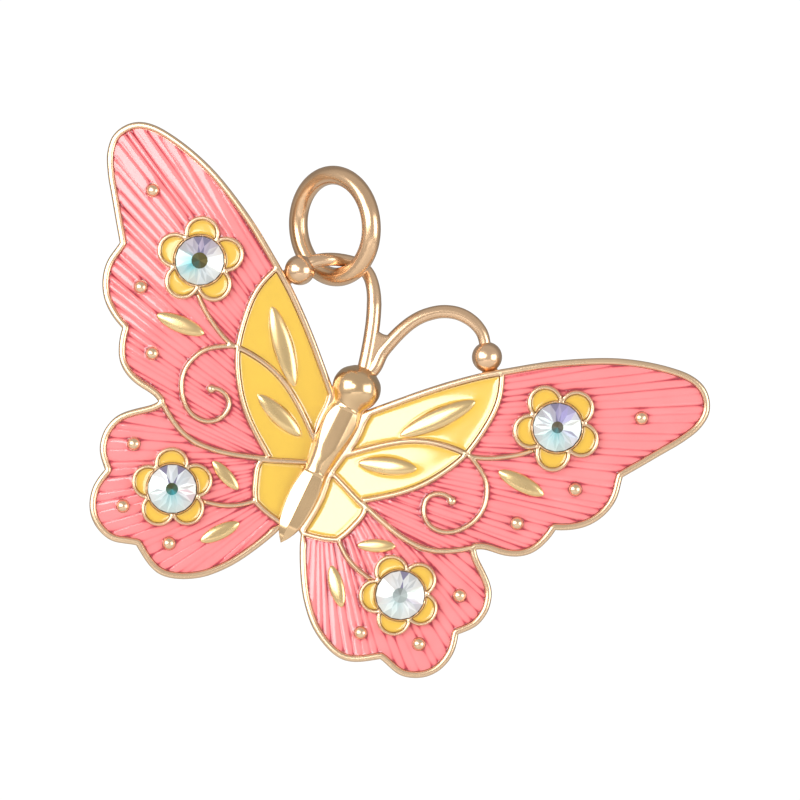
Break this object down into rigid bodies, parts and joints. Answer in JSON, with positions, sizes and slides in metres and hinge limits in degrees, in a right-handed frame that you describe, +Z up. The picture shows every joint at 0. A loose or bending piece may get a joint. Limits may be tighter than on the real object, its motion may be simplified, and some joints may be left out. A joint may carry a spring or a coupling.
{
  "type": "hanging butterfly ornament",
  "caption": "Gold-plated butterfly ornament with pink and yellow enamel cells, crystal-centred flowers and ball-tipped antennae, hung askew by a wire ring round one antenna.",
  "frame": {"origin": "inside of the ring's top, where a hook or thread bears", "axes": "+Z up as it hangs, -Y towards the viewer and the enamelled front, +X to the viewer's right"},
  "size_m": [0.0621, 0.009, 0.0556],
  "materials": {
    "gold_ring": "polished pale rose-gold plate",
    "gold_wing": "polished pale rose-gold plate",
    "gold_body": "polished pale rose-gold plate",
    "gold_antenna": "polished pale rose-gold plate",
    "pink_enamel": "glossy, ribbed",
    "yellow_enamel": "glossy",
    "petal_enamel": "glossy",
    "crystal": "faceted, iridescent coating over a foiled back",
    "crystal_cement": "cured clear adhesive"
  },
  "bodies": {
    "ring": {"hanging_ring": "gold_ring"},
    "butterfly": {"antenna_fork": "gold_antenna", "body_casting": "gold_body", "left_forewing_crystal": "crystal", "left_forewing_crystal_cement": "crystal_cement", "left_forewing_petal_enamel": "petal_enamel", "left_forewing_pink_enamel": "pink_enamel", "left_hindwing_crystal": "crystal", "left_hindwing_crystal_cement": "crystal_cement", "left_hindwing_petal_enamel": "petal_enamel", "left_hindwing_pink_enamel": "pink_enamel", "left_lower_yellow_enamel": "yellow_enamel", "left_middle_yellow_enamel": "yellow_enamel", "left_upper_yellow_enamel": "yellow_enamel", "left_wing_plate": "gold_wing", "right_forewing_crystal": "crystal", "right_forewing_crystal_cement": "crystal_cement", "right_forewing_petal_enamel": "petal_enamel", "right_forewing_pink_enamel": "pink_enamel", "right_hindwing_crystal": "crystal", "right_hindwing_crystal_cement": "crystal_cement", "right_hindwing_petal_enamel": "petal_enamel", "right_hindwing_pink_enamel": "pink_enamel", "right_lower_yellow_enamel": "yellow_enamel", "right_middle_yellow_enamel": "yellow_enamel", "right_upper_yellow_enamel": "yellow_enamel", "right_wing_plate": "gold_wing"}
  },
  "joints": [
    {"name": "butterfly_swing", "type": "hinge", "parent": "ring", "child": "butterfly", "pos_m": [0.00075, 0, -0.00748], "axis": [1, 0, 0], "range_deg": [-15, 38]}
  ]
}
